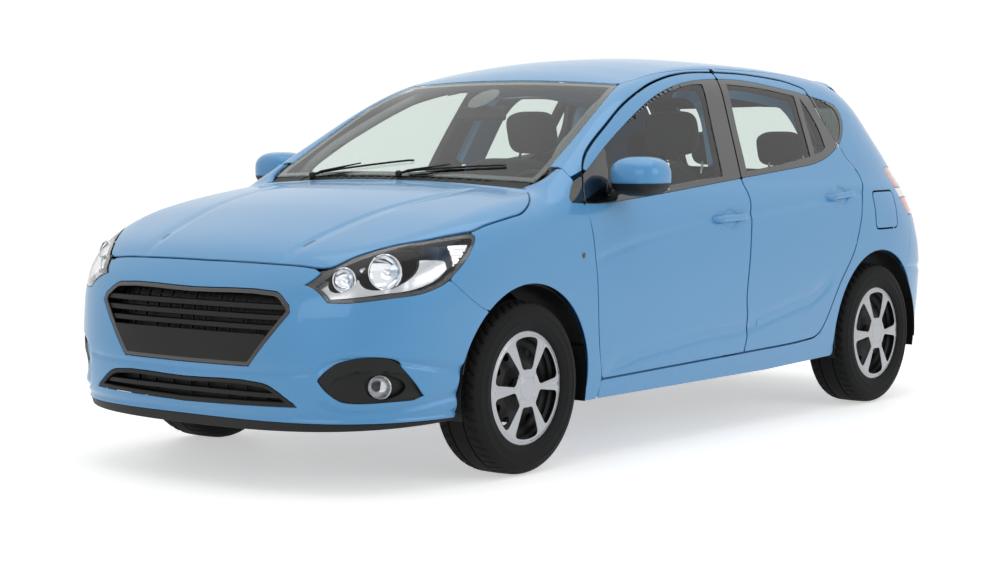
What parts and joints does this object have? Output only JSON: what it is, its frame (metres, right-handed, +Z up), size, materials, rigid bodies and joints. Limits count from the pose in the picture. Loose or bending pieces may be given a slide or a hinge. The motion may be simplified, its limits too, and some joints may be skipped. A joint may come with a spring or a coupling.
{
  "type": "five-door hatchback car",
  "caption": "Five-door hatchback car with opening doors, bonnet, tailgate and fuel flap, coupled steering and wheels that roll.",
  "frame": {"origin": "on the ground, midway between the bumpers on the middle plane", "axes": "+Z up, nose towards -Y, the car's left side towards +X"},
  "size_m": [2.0504, 4.1296, 1.5213],
  "materials": {
    "paint": "metallic gloss",
    "underbody": "satin",
    "steel": "satin",
    "black_steel": "satin",
    "silver": "silver lacquer",
    "black_plastic": "grained",
    "lamp_clear": "clear",
    "lamp_red": "clear red",
    "window_glass": "clear",
    "seat_fabric": "woven",
    "tyre": "matt"
  },
  "bodies": {
    "body": {"floor_pan": "underbody", "bulkhead": "black_plastic", "front_frame": "steel", "body_side_left": "paint", "body_side_right": "paint", "roof_panel": "paint", "front_fenders": "paint", "arch_liners": "black_plastic", "front_bumper": "paint", "grilles": "black_plastic", "headlamps": "lamp_clear", "fog_lamps": "lamp_clear", "engine_block": "steel", "windscreen": "window_glass", "wipers": "black_plastic", "rear_bumper": "paint", "tail_lamps": "lamp_red", "quarter_windows": "window_glass", "dashboard": "black_plastic", "front_seats": "seat_fabric", "rear_seat": "seat_fabric", "interior_mirror": "black_plastic", "front_suspension": "steel", "rear_axle": "steel", "exhaust": "steel", "fuel_tank": "black_plastic"},
    "bonnet": {"bonnet": "paint"},
    "tailgate": {"tailgate": "paint", "rear_window": "window_glass"},
    "fuel_flap": {"fuel_flap": "paint"},
    "front_door_left": {"front_door_left": "paint", "front_door_glass_left": "window_glass", "door_mirror_left": "paint"},
    "rear_door_left": {"rear_door_left": "paint", "rear_door_glass_left": "window_glass"},
    "front_knuckle_left": {"front_knuckle_left": "steel"},
    "front_wheel_left": {"front_tyre_left": "tyre", "front_wheel_left": "black_steel", "front_wheel_cover_left": "silver"},
    "rear_wheel_left": {"rear_tyre_left": "tyre", "rear_wheel_left": "black_steel", "rear_wheel_cover_left": "silver"},
    "front_door_right": {"front_door_right": "paint", "front_door_glass_right": "window_glass", "door_mirror_right": "paint"},
    "rear_door_right": {"rear_door_right": "paint", "rear_door_glass_right": "window_glass"},
    "front_knuckle_right": {"front_knuckle_right": "steel"},
    "front_wheel_right": {"front_tyre_right": "tyre", "front_wheel_right": "black_steel", "front_wheel_cover_right": "silver"},
    "rear_wheel_right": {"rear_tyre_right": "tyre", "rear_wheel_right": "black_steel", "rear_wheel_cover_right": "silver"},
    "steering_wheel": {"steering_wheel": "black_plastic"}
  },
  "joints": [
    {"name": "front_door_left_swing", "type": "hinge", "parent": "body", "child": "front_door_left", "pos_m": [0.835, -0.736, 0.68], "axis": [0, 0, -1], "range_deg": [0, 65]},
    {"name": "rear_door_left_swing", "type": "hinge", "parent": "body", "child": "rear_door_left", "pos_m": [0.835, 0.338, 0.68], "axis": [0, 0, -1], "range_deg": [0, 68]},
    {"name": "front_door_right_swing", "type": "hinge", "parent": "body", "child": "front_door_right", "pos_m": [-0.835, -0.736, 0.68], "axis": [0, 0, 1], "range_deg": [0, 65]},
    {"name": "rear_door_right_swing", "type": "hinge", "parent": "body", "child": "rear_door_right", "pos_m": [-0.835, 0.338, 0.68], "axis": [0, 0, 1], "range_deg": [0, 68]},
    {"name": "bonnet_lift", "type": "hinge", "parent": "body", "child": "bonnet", "pos_m": [0, -0.962, 1.002], "axis": [-1, 0, 0], "range_deg": [0, 50]},
    {"name": "tailgate_lift", "type": "hinge", "parent": "body", "child": "tailgate", "pos_m": [0, 1.473, 1.42994], "axis": [1, 0, 0], "range_deg": [0, 80]},
    {"name": "fuel_flap_swing", "type": "hinge", "parent": "body", "child": "fuel_flap", "pos_m": [0.832, 1.372, 0.859], "axis": [0, 0, -1], "range_deg": [0, 85]},
    {"name": "steering_left", "type": "hinge", "parent": "body", "child": "front_knuckle_left", "pos_m": [0.68, -1.194, 0.19], "axis": [-0.2161, 0, 0.9764], "range_deg": [-32, 32]},
    {"name": "steering_right", "type": "hinge", "parent": "body", "child": "front_knuckle_right", "pos_m": [-0.68, -1.194, 0.19], "axis": [0.2161, 0, 0.9764], "range_deg": [-32, 32]},
    {"name": "steering_wheel_turn", "type": "hinge", "parent": "body", "child": "steering_wheel", "pos_m": [0.37, -0.47, 0.9], "axis": [0, 0.9063, 0.4226], "range_deg": [-500, 500]},
    {"name": "front_wheel_left_roll", "type": "hinge", "parent": "front_knuckle_left", "child": "front_wheel_left", "pos_m": [0.742, -1.194, 0.31], "axis": [1, 0, 0], "continuous": true},
    {"name": "rear_wheel_left_roll", "type": "hinge", "parent": "body", "child": "rear_wheel_left", "pos_m": [0.742, 1.376, 0.31], "axis": [1, 0, 0], "continuous": true},
    {"name": "front_wheel_right_roll", "type": "hinge", "parent": "front_knuckle_right", "child": "front_wheel_right", "pos_m": [-0.742, -1.194, 0.31], "axis": [1, 0, 0], "continuous": true},
    {"name": "rear_wheel_right_roll", "type": "hinge", "parent": "body", "child": "rear_wheel_right", "pos_m": [-0.742, 1.376, 0.31], "axis": [1, 0, 0], "continuous": true}
  ],
  "couplings": [
    {"joint": "steering_right", "follows": "steering_left", "ratio": 1},
    {"joint": "steering_wheel_turn", "follows": "steering_left", "ratio": 15}
  ]
}
